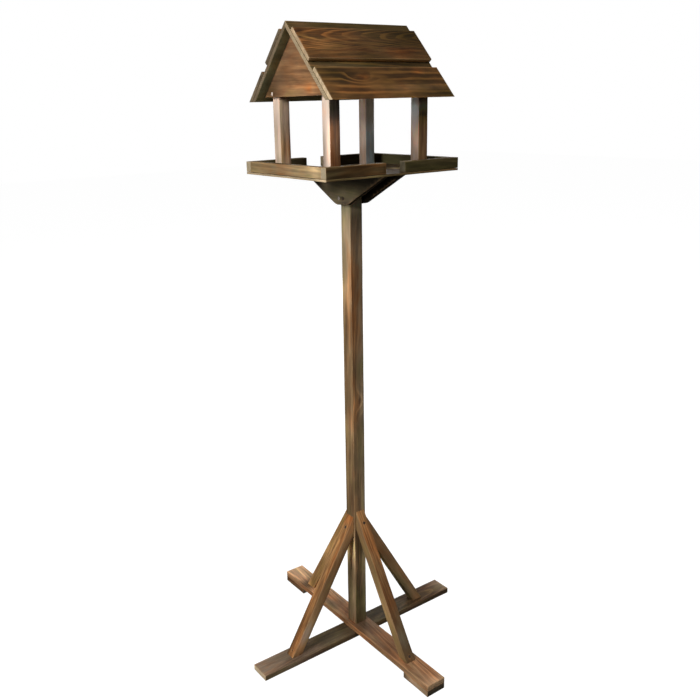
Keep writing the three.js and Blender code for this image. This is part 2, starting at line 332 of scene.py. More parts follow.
def set_screw(model, name, node, turn=0.0):
    """A copy of a screw or bore, stretched to a node's length and laid along its line."""
    head, into, length = screw_line(node)
    made = model.copy()
    made.data = model.data.copy()
    made.name = name
    bpy.context.scene.collection.objects.link(made)
    stretch = (length - head_depth) / (model_length - head_depth)
    for vertex in made.data.vertices:
        if vertex.co.z < -head_depth:
            vertex.co.z = (vertex.co.z + head_depth) * stretch - head_depth
    place = (-into).to_track_quat("Z", "Y").to_matrix() @ Matrix.Rotation(turn, 3, "Z")
    made.data.transform(Matrix.Translation(head) @ place.to_4x4())
    return made


def drill(piece, screw_nodes):
    """Bores one hole in the piece for each screw."""
    for node in screw_nodes:
        bore = set_screw(bore_model, "bore", node)
        boolean(piece, bore, "DIFFERENCE")
        bpy.data.objects.remove(bore)


# %% [markdown]
# The grain of a plank is not a picture on its faces. It is the tree: rings round a pith, cut wherever
# the saw happened to pass. So each finished timber remembers where it sat in its log, in an attribute
# that the materials read. Others say how deep each point lies between the timber's faces, how far it is
# from a knot, which faces were sawn across the grain, and how the stain took, with painted light and
# shade added to it. The stain is a sum of washes, as a painter would put them on: each one says which
# side it is on, how many stops lighter it is, how far it turns to red, and how faded. Many washes are
# painted light and not stain: painted shade where the tray, the eaves and the roof shade the wood, at
# the feet of the braces and on faces turned from the lamps, and painted light where a cast shadow is
# lit up again or a sheen is shown as paler, greyer wood. A wash may also name a spot by its place and
# size along and across the timber, and then it fades out round it. A band is a spot that reaches right
# across.

# %% Remember the log
dice = random.Random(47)
everywhere = 9
whole_face = (0, 0, 0, everywhere, everywhere)
longest_log = 9
far_knot = (everywhere, everywhere, everywhere)
band_width = 0.1
sawn_across = 0.6


def band(along, length):
    """A spot at a place along the timber that reaches right across it."""
    return along, 0, 0, length, band_width


def store(piece, name, kind, domain, values):
    """Keeps one value for each point or face of a piece, as an attribute."""
    layer = piece.data.attributes.new(name, kind, domain)
    key = "value" if kind == "FLOAT" else "vector"
    layer.data.foreach_set(key, np.asarray(values, np.float32).ravel())


def stain_and_shade_at(local, normals, washes):
    """The sum of every wash at each point, stained colour and painted light together, as stops of
    light, turn to red and fading.
    """
    stain = np.zeros((len(local), 3))
    for side, amounts, *spots in washes:
        facing = np.clip(normals @ np.array(side), 0, 1) ** 2
        for along, across, up, length, width in spots or [whole_face]:
            far = ((local - (along, across, up)) / (length, width, width)) ** 2
            stain += np.outer(facing * np.exp(-far.sum(axis=1)), amounts)
    return stain


def remember_log(piece, centre, size, axes, pith, lean, coarse, knot, washes):
    """Stores a timber's place in its log, the depths in it, its knot, its sawn ends and its stained
    colour with painted light and shade.
    """
    points = np.array([vertex.co for vertex in piece.data.vertices]) - np.array(centre)
    local = points @ np.array(axes).T
    drift = np.outer(local[:, 0], (0, lean[0], lean[1]))
    log = (local - np.array((0, pith[0], pith[1])) - drift) * np.array((1, coarse, coarse))
    log[:, 0] += dice.uniform(1, longest_log)
    store(piece, "log", "FLOAT_VECTOR", "POINT", log)
    store(piece, "margin", "FLOAT_VECTOR", "POINT", np.array(size) / 2 - abs(local))
    store(piece, "knot", "FLOAT_VECTOR", "POINT", local - np.array(knot))
    face_normals = np.array([face.normal for face in piece.data.polygons])
    store(piece, "sawn", "FLOAT", "FACE", abs(face_normals @ np.array(axes[0])) > sawn_across)
    normals = np.array([vertex.normal for vertex in piece.data.vertices])
    # This attribute holds painted light and shade as well as the stain.
    store(piece, "stain", "FLOAT_VECTOR", "POINT", stain_and_shade_at(local, normals, washes))


# %% [markdown]
# One function takes a shaped blank through the last steps at the bench: ease, slice, weather, drill,
# shade, remember the log and ride on the frame. Every timber goes through it, so each piece further
# down needs only its own shape, its grain direction and its finish.

# %% Finish a timber
smooth_angle = math.radians(32)
timbers = []


def any_way(sideways, near, far):
    """A random pair: a little to either side, and farther up or down."""
    return dice.uniform(-sideways, sideways), dice.choice((-1, 1)) * dice.uniform(near, far)


def finish_timber(piece, centre, size, axes, slot, screws=(), pith=None, lean=None,
                  coarse=1.0, knot=far_knot, washes=(), width=arris):
    """Takes a shaped blank through the last steps and sets it in the frame."""
    ease(piece, axes[0], width)
    for axis, length, step in zip(axes, size, (slice_length, slice_width, slice_width)):
        slice_up(piece, centre, axis, length, step)
    weather(piece)
    drill(piece, screws)
    bpy.ops.object.select_all(action="DESELECT")
    piece.select_set(True)
    bpy.context.view_layer.objects.active = piece
    bpy.ops.object.shade_smooth_by_angle(angle=smooth_angle)
    any_pith = any_way(sideways=0.02, near=0.02, far=0.05)
    any_lean = any_way(sideways=0.03, near=0.02, far=0.06)
    remember_log(piece, centre, size, axes, pith or any_pith, lean or any_lean, coarse, knot, washes)
    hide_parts(piece.name.removesuffix("_timber"))
    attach(piece, "root")
    timbers.append((piece, slot))
    print(piece.name, "faces:", len(piece.data.polygons), "holes:", len(screws))


def blank_for(node, along, across):
    """A block that fills a node's box, with its centre, its size and its axes."""
    centre, box_size = middle_and_size(node)
    axes = (along, across, along.cross(across))
    size = [abs(box_size.dot(axis)) for axis in axes]
    return block(node + "_timber", centre, size, axes), centre, size, axes


def straight_timber(node, along, across, slot, screws=(), **grain):
    """A plain bar or board, with its grain along one axis."""
    finish_timber(*blank_for(node, along, across), slot, screws, **grain)


# %% [markdown]
# The base is a cross of two boards, one lying over the other. Short packers of the same board fill the
# step under the ends of the upper one, so the table stands level. The lower board is bored for the
# post's screws and for the feet of two braces. Its stain is paler at both ends.

# %% Lower board
post_screws = ["post_screw_a", "post_screw_b"]
straight_timber(
    "base_board_lower", X, Y, "base_timber",
    post_screws + ["brace_left_foot_screw", "brace_right_foot_screw"],
    washes=[
        (Z, (-1.5, -0.5, 0.3)),
        (Z, (1.1, 0.8, 0.25), band(-0.3, 0.09)),
        (Z, (0.6, 0.1, 0), band(-0.14, 0.02)),
        (Z, (-0.4, 0.1, 0.1), band(0.09, 0.03)),
        (Z, (0.1, 0.5, -0.5), band(0.22, 0.05)),
        (Z, (1.8, 0.2, 0.1), band(0.32, 0.065)),
        (-Y, (-1.0, -0.3, 0.2)),
        (-Y, (1.1, 0, 0.15), (-0.24, -0.027, 0, 0.08, 0.1)),
        (-Y, (-0.9, 0, 0), (0.09, -0.027, 0, 0.03, 0.1)),
        (-X, (1.1, 0.1, 0.4)),
    ],
)

# %% [markdown]
# The upper board lies across it, and the packers are cut from the same stock. Each packer is held by
# two screws that are driven up into the board, so both of them are bored.

# %% Upper board and packers
packer_screws = {
    side: [f"packer_{side}_screw_a", f"packer_{side}_screw_b"] for side in ("front", "back")
}
straight_timber(
    "base_board_upper", Y, X, "base_timber",
    post_screws + packer_screws["front"] + packer_screws["back"]
    + ["brace_front_foot_screw", "brace_back_foot_screw"],
    washes=[
        (Z, (0.3, 0.3, 0.05)),
        (Z, (1.05, -0.2, 0.1), band(0.3, 0.14)),
        # Painted shade: a dark band where the back brace stands on the board.
        (Z, (-2.1, -0.4, 0), band(0.21, 0.02)),
        (Z, (1.0, 0.2, 0), band(0.161, 0.015)),
        (Z, (-0.6, -0.3, 0.1), band(0.09, 0.02)),
        # Painted shade: a dark band round the foot of the post.
        (Z, (-1.0, -0.2, 0.1), band(-0.03, 0.04)),
        (Z, (-0.3, -0.1, 0), band(-0.25, 0.06)),
        (Z, (0.6, -0.3, 0.1), band(-0.3, 0.02)),
        (-X, (0.4, 0.2, 0)),
        (-X, (0.5, -0.1, 0.1), band(0.3, 0.12)),
        (-X, (-0.2, 0.6, -0.2), band(0.03, 0.03)),
        (-X, (0.45, 0.1, 0), band(-0.05, 0.03)),
        (-X, (-0.35, 0.1, 0), band(-0.15, 0.03)),
        (-X, (0.4, 0.1, 0.1), band(-0.27, 0.06)),
        (-Y, (1.0, 0.5, 0)),
    ],
)
packer_washes = {
    # The front packer's end is painted darker, as shade under the board, and its side is darker near
    # one end.
    "front": [(-Y, (-1.5, 0, 0)), (-X, (0.8, -0.1, 0.3)), (-X, (-1.8, 0, 0), band(0.042, 0.014))],
    "back": [(-X, (-0.8, 0.2, 0))],
}
for side, screws in packer_screws.items():
    straight_timber(f"packer_{side}", Y, X, "base_timber", screws, washes=packer_washes[side])

# %% [markdown]
# The post is one square length of planed softwood. It carries everything, and twelve screws enter it:
# two from below, two from the tray, four from the braces and four from the gussets.

# %% Post
near_corner = (-X - Y) / math.sqrt(2)
straight_timber(
    "post", Z, X, "post_timber",
    post_screws + ["tray_screw_a", "tray_screw_b"]
    + [f"brace_{side}_head_screw" for side in sides]
    + [f"gusset_{x}_screw_{y}" for x in ("left", "right") for y in ("front", "back")],
    washes=[
        (-X, (-0.4, 0, 0)),
        (-X, (0.55, 0, 0.45), band(0.44, 0.1)),
        # Painted shade and sheen: a darker, greyer band just under the gusset.
        (-X, (-0.75, -0.1, 0.8), band(0.505, 0.02)),
        (-X, (0.95, 0.1, 0), band(0.31, 0.05)),
        (-X, (0.4, 0, 0), band(0.15, 0.05)),
        (-X, (0.9, 0, 0), band(-0.03, 0.04)),
        (-X, (0.35, 0, 0), band(-0.14, 0.05)),
        # Painted light: this band lightens the post between the brace heads, where the braces' shadows
        # fall, and the next one darkens the corner there, so that the arris is not painted too bright.
        (-X, (3.4, -0.5, 0.2), band(-0.355, 0.05)),
        (near_corner, (-1.2, 0, 0), band(-0.355, 0.05)),
        (-X, (0.7, -0.1, 0.25), band(-0.5, 0.09)),
        (-X, (-0.3, -0.3, 0), (0, -0.017, 0.017, everywhere, 0.012)),
        (-X, (0.25, 0.5, 0), (0.25, -0.017, -0.006, 0.13, 0.009)),
        (-Y, (0, 0, 0.05)),
        (-Y, (-0.6, 0.4, 0.1), band(0.3, 0.18)),
        (-Y, (1.2, -0.3, 0.9), band(0.505, 0.022)),
        (-Y, (-0.7, 0, 0.3), band(0.435, 0.035)),
        (-Y, (-0.4, -0.4, 0), band(0.118, 0.03)),
        (-Y, (0.9, 0.3, -0.1), band(0.03, 0.025)),
        (-Y, (-0.4, -0.4, 0.1), band(-0.114, 0.03)),
        (-Y, (0.3, 0, 0), band(-0.2, 0.06)),
        (-Y, (1.3, -0.1, 0), band(-0.385, 0.06)),
        (-Y, (0, -1.0, 0.3), band(-0.52, 0.07)),
        # Painted shade at the foot of the post.
        (-Y, (-0.6, 0, 0), band(-0.555, 0.02)),
        (-Y, (0.1, 0.6, -0.1), (0.2, -0.012, -0.017, 0.22, 0.01)),
        (-Y, (-0.1, -0.2, 0.35), (0, 0.014, -0.017, everywhere, 0.01)),
    ],
    knot=(0.04, 0.005, 0),
)

# %% [markdown]
# The stain of the braces is written down first, with painted shade. Places are metres from the middle
# of the bar, along it and then across it. The face that is called out here looks up and away from the
# post, and its direction is known only when the lean has been measured. The darker spots near the feet
# of three braces are painted shade where they meet the boards.

# %% Stain and painted shade of the braces
brace_washes = {
    "left": [
        ("out", (-0.15, 0.15, 0)),
        ("out", (0.1, -0.3, 0.2), (-0.06, -0.013, 0.013, 0.05, 0.008)),
        ("out", (-1.3, -0.5, -0.2), (0.12, -0.013, 0.013, 0.08, 0.008)),
        ("out", (0.2, 0.1, 0), (0, 0.006, 0.013, everywhere, 0.008)),
        ("out", (-0.6, 0, 0), (0.08, 0.009, 0.013, 0.07, 0.009)),
        ("out", (0.45, 0, 0), (0.02, -0.009, 0.013, 0.03, 0.009)),
        ("out", (-0.2, 0.3, 0), (-0.18, 0, 0.013, 0.03, 0.02)),
        ("out", (0.3, 0, 0), (-0.03, -0.009, 0.013, 0.03, 0.009)),
        ("out", (-0.15, 0, 0), (0.15, 0, 0.013, 0.08, 0.1)),
        (-Y, (-0.05, 0, 0.7)),
        (-Y, (-0.65, 0, 0), (-0.06, 0.013, 0, 0.06, 0.1)),
        (-Y, (0.3, 0, 0.6), (0.12, 0.013, 0, 0.04, 0.1)),
        (-Y, (-0.9, 0, 0), (0.19, 0.013, 0, 0.02, 0.1)),
        (-Y, (-0.5, 0, -0.2), (0, 0.013, -0.013, everywhere, 0.007)),
    ],
    "front": [
        ("out", (-0.15, 0, 0)),
        ("out", (0, 0.5, 0.1), (-0.1, 0, 0.013, 0.06, 0.1)),
        ("out", (-1.2, 0.6, 0.2), (0.015, 0, 0.013, 0.06, 0.1)),
        ("out", (-2.3, -0.1, 1.1), (0.14, 0, 0.013, 0.08, 0.1)),
        ("out", (0.6, 0, 0.1), (0.132, 0, 0.013, 0.02, 0.1)),
        (-X, (-0.8, -0.3, 0.7)),
        (-X, (0.5, 0, 0), (0.06, -0.013, 0, 0.04, 0.1)),
    ],
    "right": [
        (-Y, (-0.3, 0.2, 0.8)),
        (-Y, (-1.3, -0.5, 0.2), (0.1, -0.013, -0.012, 0.1, 0.011)),
        (-X, (-0.8, -1.4, 1.2)),
        (-X, (-2.6, -0.3, 0.3), (0.12, 0, -0.013, 0.08, 0.1)),
    ],
    "back": [
        (-X, (0.05, -0.2, 0.1)),
        (-X, (0.1, 0, 0.1), (0, 0.013, 0, 0.06, 0.1)),
        (-X, (0.5, 0, 0), (0.182, 0.013, 0, 0.02, 0.1)),
        (-Y, (0.9, 0, 0)),
    ],
}
print("washes on the braces:", sum(len(washes) for washes in brace_washes.values()))

# %% [markdown]
# A brace is a bar that leans against the post and is mitred at both ends. It could be modelled as a
# box that is dragged into shape by its corners, but sawing is truer: the bar is made too long, laid at
# its angle, and cut once along the board and once along the face of the post.

# %% Braces
for side, out in sides.items():
    node = f"brace_{side}"
    inner, outer = reach(node, out)
    seat, head = reach(node, Z)
    fall = (out * (outer - inner) - Z * (head - seat)).normalized()
    level = Z.cross(out)
    outward = fall.cross(level)
    low_face, high_face = reach(node, outward)
    thickness = high_face - low_face
    run = math.hypot(outer - inner, head - seat)
    on_face = out * (outer + inner) / 2 + Z * (seat + head) / 2
    centre = on_face - outward * thickness / 2
    size = (run + thickness * 2, thickness, thickness)
    axes = (fall, level, outward)
    brace = block(node + "_timber", centre, size, axes)
    saw(brace, Z * seat, -Z)
    saw(brace, out * inner, -out)
    screws = [f"{node}_foot_screw", f"{node}_head_screw"]
    washes = [(outward if face == "out" else face, *rest) for face, *rest in brace_washes[side]]
    finish_timber(brace, centre, size, axes, "brace_timber", screws, washes=washes)

# %% [markdown]
# Two gussets spread the tray's load onto the post. Each is a plate that tapers from almost the width
# of the tray to a short foot. The two slanted cuts are made with the saw, and the corners of the foot
# are then rounded with the bevel operator, as a rasp would ease them.

# %% Gussets
gusset_foot = 0.040
gusset_ease = 0.008
gusset_ease_segments = 5
# Painted shade: the left gusset is painted dark at the top, where the tray shades it, and at its foot
# and one corner. The right gusset is painted dark all over, as if in deep shade, and the edges that
# face front and down are painted dark on both.
gusset_washes = {
    "left": [
        (-X, (-0.25, -0.3, 0.7)),
        (-X, (-4.6, -0.2, -0.3), (-0.06, 0.033, -0.006, 0.15, 0.028)),
        (-X, (-3.4, 0, 0), (0.1, 0.012, -0.006, 0.03, 0.02)),
        (-X, (0.6, 0, 0), (-0.016, -0.007, -0.006, 0.03, 0.008)),
        (-X, (-0.8, 0, 0), (0.02, 0.008, -0.006, 0.018, 0.012)),
        (-X, (1.0, 0, 0), (0.06, 0.008, -0.006, 0.015, 0.01)),
        (-X, (0.6, 0, 0), (-0.055, 0.001, -0.006, 0.014, 0.006)),
        (-X, (-0.6, 0, 0), (-0.024, -0.02, -0.006, 0.012, 0.01)),
        (-X, (-2.6, 0, 0), (-0.02, -0.034, -0.006, 0.03, 0.007)),
    ],
    "right": [(-X, (-3.3, -0.3, 0.2)), (-X, (-1.6, 0, 0), (-0.01, -0.018, -0.006, 0.02, 0.012))],
}
gusset_edge_washes = [(-Y, (-2.2, -0.3, 0.2)), (-Z, (-3.0, -0.3, 0.2))]
for side in ("left", "right"):
    node = f"gusset_{side}"
    low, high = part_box(node)
    plate, *shape = blank_for(node, Y, Z)
    for end in (-1, 1):
        toe = Vector((0, end * gusset_foot / 2, low.z))
        top = Vector((0, end * high.y, high.z))
        slant = (top - toe).normalized()
        away = Vector((0, end * slant.z, -end * slant.y))
        saw(plate, toe, away)
    foot_level = low.z + arris
    bpy.ops.object.mode_set(mode="EDIT")
    pick_edges(plate, lambda a, b: max(a.z, b.z) < foot_level and abs(a.x - b.x) > arris)
    bpy.ops.mesh.bevel(offset=gusset_ease, segments=gusset_ease_segments, affect="EDGES")
    bpy.ops.object.mode_set(mode="OBJECT")
    screws = [f"{node}_screw_front", f"{node}_screw_back"]
    washes = gusset_washes[side] + gusset_edge_washes
    finish_timber(plate, *shape, "post_timber", screws, width=thin_arris, washes=washes)

# %% [markdown]
# The tray's stain is dark and olive, with paler and redder places on the rails. Most washes are for the
# faces that the photograph shows, and a face without one keeps the plain finish.

# %% Stain and painted light and shade of the tray
# Painted shade: the inner faces of the back rails and the right front rail's end at the gap are painted
# dark.
side_rail_washes = {
    "front_left": [
        (-Y, (-0.9, 0.35, -0.2)),
        (-Y, (1.0, 0.3, 0), (0.055, 0, 0.009, 0.03, 0.1)),
        (-X, (0.15, 0, 0.2)),
        (-X, (-0.4, 0.1, 0), (-0.075, -0.01, 0, 0.03, 0.006)),
    ],
    "front_right": [
        (-Y, (-1.15, -0.8, 0.1)),
        (-X, (-2.0, -0.2, 0)),
        (Z, (-1.1, 0, 0)),
        (Z, (1.4, 0, 0), band(-0.06, 0.03)),
    ],
    "back_left": [(-Y, (-1.2, -0.6, 0.3))],
    "back_right": [(-Y, (-3.0, 0, 0))],
}
# Painted shade: the inside face of the right end rail is painted dark.
end_rail_washes = {
    "left": [
        (-X, (0.35, -0.1, 0.1)),
        (-X, (0.1, 0.7, 0.15), band(0.02, 0.06)),
        (-X, (-0.5, 0, 0), band(0.04, 0.03)),
        (-X, (-0.5, -0.1, 0.1), band(0, 0.025)),
        (-X, (0.35, 0.3, 0), band(-0.065, 0.02)),
        (-X, (1.0, 0, 0.1), band(-0.115, 0.03)),
    ],
    "right": [(-X, (-1.9, -0.9, 0.6)), (-X, (-0.5, 0, 0), band(0, 0.02)), (Z, (-1.1, 0, 0))],
}
# Painted light and shade: the floor's top is painted darker, as shade inside the tray that also damps
# its sheen, and one spot that shows through the gap is painted much lighter, a painted patch of light.
floor_washes = [
    (Z, (-1.1, 0.2, -0.2)),
    (Z, (2.6, -0.6, 0.7), (0.095, -0.042, 0, 0.013, 0.02)),
    (-X, (1.2, 0, 0.3), (-0.176, -0.15, 0, 0.03, 0.03)),
    (-Y, (0.1, -0.4, 0.1), (-0.12, -0.152, 0, 0.03, 0.1)),
    (-Y, (0.8, -0.5, 0.2), (-0.055, -0.152, 0, 0.03, 0.1)),
    (-Y, (-0.9, -0.3, 0), (0, -0.152, 0, 0.035, 0.1)),
]
red_streak = (-Y, (0.1, 0.7, 0), (0, 0.004, 0, 0.05, 0.01))
print("washes on the floor:", len(floor_washes))

# %% [markdown]
# The tray is a thin floor with rails on it. The side rails come in halves with a gap in the middle, so
# that old seed can be swept out. They run past the end rails, and so their end grain shows at the
# tray's four corners.

# %% Tray
straight_timber(
    "tray_floor", X, Y, "tray_timber",
    ["tray_screw_a", "tray_screw_b"]
    + [f"roof_post_{y}_{x}_screw" for y in ("front", "back") for x in ("left", "right")],
    washes=floor_washes, width=thin_arris,
)
for x in ("left", "right"):
    straight_timber(
        f"end_rail_{x}", Y, Z, "tray_timber",
        pith=(0.03, 0.05), lean=(0.01, 0.01), washes=end_rail_washes[x],
    )
    for y in ("front", "back"):
        washes = side_rail_washes[f"{y}_{x}"] + [red_streak]
        straight_timber(f"side_rail_{y}_{x}", X, Z, "tray_timber", washes=washes)

# %% [markdown]
# The small posts under the roof have faded unevenly, and each has washes of its own, some of them
# painted light and shade. The pale, faded look of their left faces is partly a painted sheen, a dark
# band at the top of the front left post's front face is a painted shadow of the eave, and the silver
# grey on the back right post's front face stands for the cool tone of shade. Two more washes paint
# shade on the faces that look right and back.

# %% Stain, painted sheen and painted shade of the roof posts
roof_post_washes = {
    "back_left": [
        # The faded, pale left faces here and below are partly a painted sheen.
        (-X, (0.1, 0.1, 0.7)),
        (-X, (-0.4, 0.1, 0), band(0, 0.03)),
        (-Y, (0.6, -0.4, 0.45)),
        (-Y, (0.5, 0.3, -0.4), band(-0.055, 0.04)),
    ],
    "front_left": [
        (-X, (0, 0.1, 0.8)),
        (-X, (-1.0, 0, 0), (-0.055, -0.013, 0.008, 0.04, 0.01)),
        (-X, (0.35, 0, 0), (0, -0.013, -0.01, 0.05, 0.007)),
        (-X, (0.7, 0.1, -0.1), (-0.065, -0.013, -0.01, 0.03, 0.01)),
        (-Y, (-0.9, 0.75, 0.25)),
        (-Y, (0.5, 0.1, 0), band(0, 0.02)),
        (-Y, (-0.35, 0, -0.25), band(-0.075, 0.03)),
        # Painted shadow of the eave at the top of this front face.
        (-Y, (-1.9, -1.2, 0.5), band(0.033, 0.02)),
    ],
    "back_right": [
        (-X, (0.6, 0.1, 0.7)),
        (-X, (0.4, 0, 0.3), band(0.01, 0.03)),
        (-X, (-1.8, 0.1, 0), band(-0.095, 0.045)),
        # Silver grey on this front face, a painted tone of shade.
        (-Y, (0.3, 0, 2.3)),
        (-Y, (1.9, 0, 0.2), band(0.02, 0.05)),
        (-Y, (-0.6, 0, 0), band(-0.08, 0.04)),
    ],
    "front_right": [
        (-X, (0.8, 0.3, 0.9)),
        (-X, (0.6, -0.2, 1.0), band(0.02, 0.03)),
        (-X, (-1.9, 0.1, 0), band(-0.09, 0.04)),
        (-X, (-1.7, 0, 0), band(0.045, 0.014)),
        (-Y, (-0.6, -0.3, -0.1)),
        (-Y, (0.9, 0, 1.4), band(0.029, 0.014)),
        (-Y, (1.1, -1.2, 0), band(0.012, 0.02)),
    ],
}
# Painted shade on the faces that look right and back.
hidden_face_washes = [(X, (-0.6, 0.1, 0)), (Y, (-0.6, 0.1, 0))]
print("washes on the roof posts:", sum(len(washes) for washes in roof_post_washes.values()))

# %% [markdown]
# Four small posts hold the roof. Their heads are bevelled to the pitch, which is one more cut with the
# saw, along the underside of the roof.


# %% Roof posts
def slope_out(end):
    """The direction square to a roof slope, away from the house. end is -1 in front, 1 behind."""
    return Vector((0, end * math.sin(pitch), math.cos(pitch)))


for y, end in (("front", -1), ("back", 1)):
    for x in ("left", "right"):
        node = f"roof_post_{y}_{x}"
        low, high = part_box(node)
        inner = min(abs(low.y), abs(high.y))
        post, *shape = blank_for(node, Z, X)
        saw(post, Vector((0, end * inner, high.z)), slope_out(end))
        screws = [f"{node}_screw", f"gable_{x}_screw_{y}"]
        washes = roof_post_washes[f"{y}_{x}"] + hidden_face_washes
        finish_timber(post, *shape, "house_timber", screws,
                      pith=(0.035, 0.05), lean=(0.01, -0.015), washes=washes)

# %% [markdown]
# A gable closes each end of the house. It is a triangle sawn from a wide board, with the grain running
# level.

# %% Gables
gable_washes = [
    (-X, (-0.3, 0.1, 0)),
    # Painted shade: darker near the apex, under the roof's overhang.
    (-X, (-0.5, 0.1, 0.3), (0, 0.05, 0, 0.1, 0.05)),
    (-X, (-0.5, 0, 0), (0.092, -0.056, 0, 0.01, 0.01)),
    (-X, (0.75, 0.3, -0.1), (0.015, -0.045, 0, 0.045, 0.008)),
    (-X, (0.3, 1.2, -0.1), (-0.045, -0.05, 0, 0.012, 0.009)),
    (-X, (0.5, -0.2, 0), (-0.062, -0.058, 0, 0.012, 0.009)),
    (-X, (0.1, -0.6, 0.4), (0, -0.067, 0, 0.06, 0.006)),
    (-X, (-0.8, -0.2, 0), (0.095, -0.045, 0, 0.025, 0.03)),
    (-X, (-1.0, 0.1, 0.2), (0.06, -0.02, 0, 0.035, 0.025)),
    (-X, (-0.4, 0, 0.2), (0.074, -0.045, 0, 0.02, 0.015)),
    (-X, (0.5, 0, 0), (-0.012, -0.022, 0, 0.02, 0.015)),
    (-X, (0.25, 0, 0), (-0.058, -0.046, 0, 0.025, 0.01)),
    (-X, (-0.5, -0.6, 0.4), (0.01, -0.058, 0, 0.04, 0.006)),
    (-X, (-0.5, 0, 0), (0.038, -0.009, 0, 0.022, 0.01)),
]
for x in ("left", "right"):
    node = f"gable_{x}"
    low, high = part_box(node)
    plate, *shape = blank_for(node, Y, Z)
    for end in (-1, 1):
        saw(plate, Vector((0, 0, high.z)), slope_out(end))
    screws = [f"{node}_screw_front", f"{node}_screw_back"]
    finish_timber(plate, *shape, "gable_timber", screws, width=thin_arris,
                  pith=(-0.11, 0.02), lean=(0.03, 0.02), coarse=0.5, washes=gable_washes)

# %% [markdown]
# Sun and rain reach the roof first, so its stain is the most uneven, and some of its washes are painted
# light and shade: the bare strip and the lower edge of the upper board are painted lighter where that
# board shades them, and every roof piece is painted darker underneath. The two boards in front have a
# pith of their own as well, so that their rings are of the same kind as the real ones: wide arches
# and a knot on the lower board, and closer lines on the upper one.

# %% Stain, painted light and grain of the roof
front_out = slope_out(-1)
front_up = Vector((0, math.cos(pitch), math.sin(pitch)))
under_back = -slope_out(1)
roof_grain = {
    "roof_board_front_upper": dict(pith=(-0.020, -0.043), lean=(0.0, 0.056), coarse=1.5),
    "roof_board_front_lower": dict(
        pith=(0.09, -0.02), lean=(0.02, 0.01), coarse=0.25, knot=(-0.062, -0.028, 0)),
}
roof_washes = {
    "roof_panel_front": [
        (front_out, (-0.75, -1.2, 0.1)),
        (front_out, (0.9, 0.8, 0), (-0.13, -0.097, 0, 0.03, 0.012)),
        # Painted light on the bare strip, where the upper board shades it.
        (front_out, (1.0, 0.8, 0.1), (-0.1, 0.015, 0, 0.1, 0.013)),
        (front_out, (-0.2, 0.9, 0), (0.05, 0.015, 0, 0.04, 0.013)),
        (front_out, (0.3, 1.2, 0), (0.13, 0.015, 0, 0.05, 0.013)),
        (-X, (-0.1, 0, 0.1)),
    ],
    "roof_board_front_upper": [
        (front_out, (0.5, 0.2, 0), band(-0.15, 0.1)),
        (front_out, (-0.25, -0.1, 0.05), band(0.03, 0.1)),
        (front_out, (-0.7, 0, 0), (-0.012, 0.018, 0, 0.03, 0.012)),
        (front_out, (-1.3, -0.9, 0), (0.13, -0.025, 0, 0.07, 0.04)),
        (front_out, (-1.9, 0, 0), (-0.15, -0.028, 0, 0.014, 0.01)),
        (front_out, (-0.6, 0, 0), (-0.036, -0.028, 0, 0.02, 0.008)),
        (front_out, (-0.6, 0, 0), (0.125, 0.038, 0, 0.02, 0.008)),
        (front_out, (0.2, 0.2, 0), (-0.05, -0.02, 0, 0.09, 0.014)),
        (front_out, (1.3, 0.1, 0), (-0.12, -0.003, 0, 0.04, 0.014)),
        (front_out, (0.5, 0, 0), (-0.1, 0.02, 0, 0.06, 0.012)),
        (front_out, (0.35, 0, 0), (0.045, 0.018, 0, 0.03, 0.01)),
        (front_out, (-0.6, 0, 0), (-0.12, 0.04, 0, 0.05, 0.01)),
        (front_out, (-0.5, -0.3, 0), (0, 0.038, 0, 0.03, 0.01)),
        (front_out, (0.8, 0.5, 0), (0.075, 0.036, 0, 0.02, 0.01)),
        (front_out, (0.1, 0.8, 0), (0.09, 0.02, 0, 0.07, 0.012)),
        # Painted light on the upper board's lower edge, which lies in its own shade.
        (-front_up, (1.4, -0.3, 0.2)),
        (-X, (0.2, 0.1, 0.2)),
    ],
    "roof_board_front_lower": [
        (front_out, (0.25, -0.1, 0)),
        (front_out, (-0.5, -0.8, 0), (-0.12, -0.04, 0, 0.04, 0.02)),
        (front_out, (0.7, 0, 0), (-0.135, -0.025, 0, 0.03, 0.02)),
        (front_out, (0.6, 0.9, 0), (-0.11, 0.004, 0, 0.03, 0.005)),
        (front_out, (0.9, 1.3, 0), (-0.055, -0.032, 0, 0.014, 0.007)),
        (front_out, (-0.65, -0.3, 0), (0.06, -0.045, 0, 0.12, 0.012)),
        (front_out, (-0.5, -0.2, 0), (0.05, -0.024, 0, 0.07, 0.012)),
        (front_out, (0.55, 0.1, 0.1), (0.08, -0.002, 0, 0.09, 0.009)),
        (front_out, (0.4, 0.3, 0), (-0.02, 0.01, 0, 0.07, 0.012)),
        (front_out, (1.1, 0.6, 0), (0.1, -0.045, 0, 0.018, 0.01)),
        (front_out, (-0.5, -1.0, 0), (0.135, 0.018, 0, 0.03, 0.015)),
        (-X, (0.6, 0, 0.6)),
        (-X, (0.25, 0, 0), (-0.159, 0.025, 0, 0.02, 0.02)),
    ],
    "roof_panel_back": [
        (under_back, (0.45, -1.2, 1.0)),
        (under_back, (-0.8, 0, 0), (-0.154, -0.028, 0, 0.03, 0.013)),
        (under_back, (0.5, 0.1, 0), (-0.154, 0, 0, 0.03, 0.012)),
        (under_back, (-0.6, 0.2, 0), (-0.154, 0.05, 0, 0.03, 0.02)),
        (-X, (-1.3, 0.1, 0.1)),
    ],
    "roof_board_back_upper": [(-X, (-1.7, 0, 0.2))],
    "roof_board_back_lower": [(-X, (-1.2, 0, 0.2)), (-X, (-0.8, 0, 0), (-0.159, -0.05, 0, 0.02, 0.02))],
}
print("washes on the roof:", sum(len(washes) for washes in roof_washes.values()))

